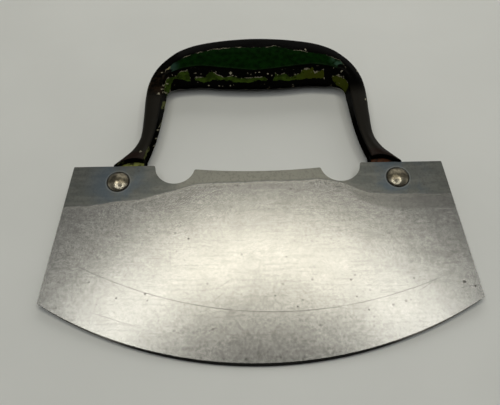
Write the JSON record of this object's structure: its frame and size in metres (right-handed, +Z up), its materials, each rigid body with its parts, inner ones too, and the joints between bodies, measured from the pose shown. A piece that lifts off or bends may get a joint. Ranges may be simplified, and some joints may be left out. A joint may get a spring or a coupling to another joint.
{
  "type": "mezzaluna",
  "caption": "Rocking chopper: a flat steel blade with a curved cutting edge and a notched top, riveted in front of a cast bow handle with a thick, tapering grip.",
  "frame": {"origin": "centre of the tool's outline, on the counter that it lies on", "axes": "+X along the blade's chord, +Y from the cutting edge to the grip, +Z up, out of the blade's front face, which leans back by 3.9 degrees"},
  "size_m": [0.152, 0.1382, 0.0137],
  "materials": {
    "blade_steel": "stainless steel, polished but dulled by fine scratches, darker where the wheel didn't reach",
    "handle_paint": "cast iron under near-black gloss paint, with a dark green front and older green and cream paint showing where it is chipped",
    "rivet_metal": "aged nickel, domed and slightly crumpled from setting"
  },
  "bodies": {
    "root": {"blade": "blade_steel", "handle": "handle_paint", "rivet_left": "rivet_metal", "rivet_right": "rivet_metal"}
  },
  "joints": []
}
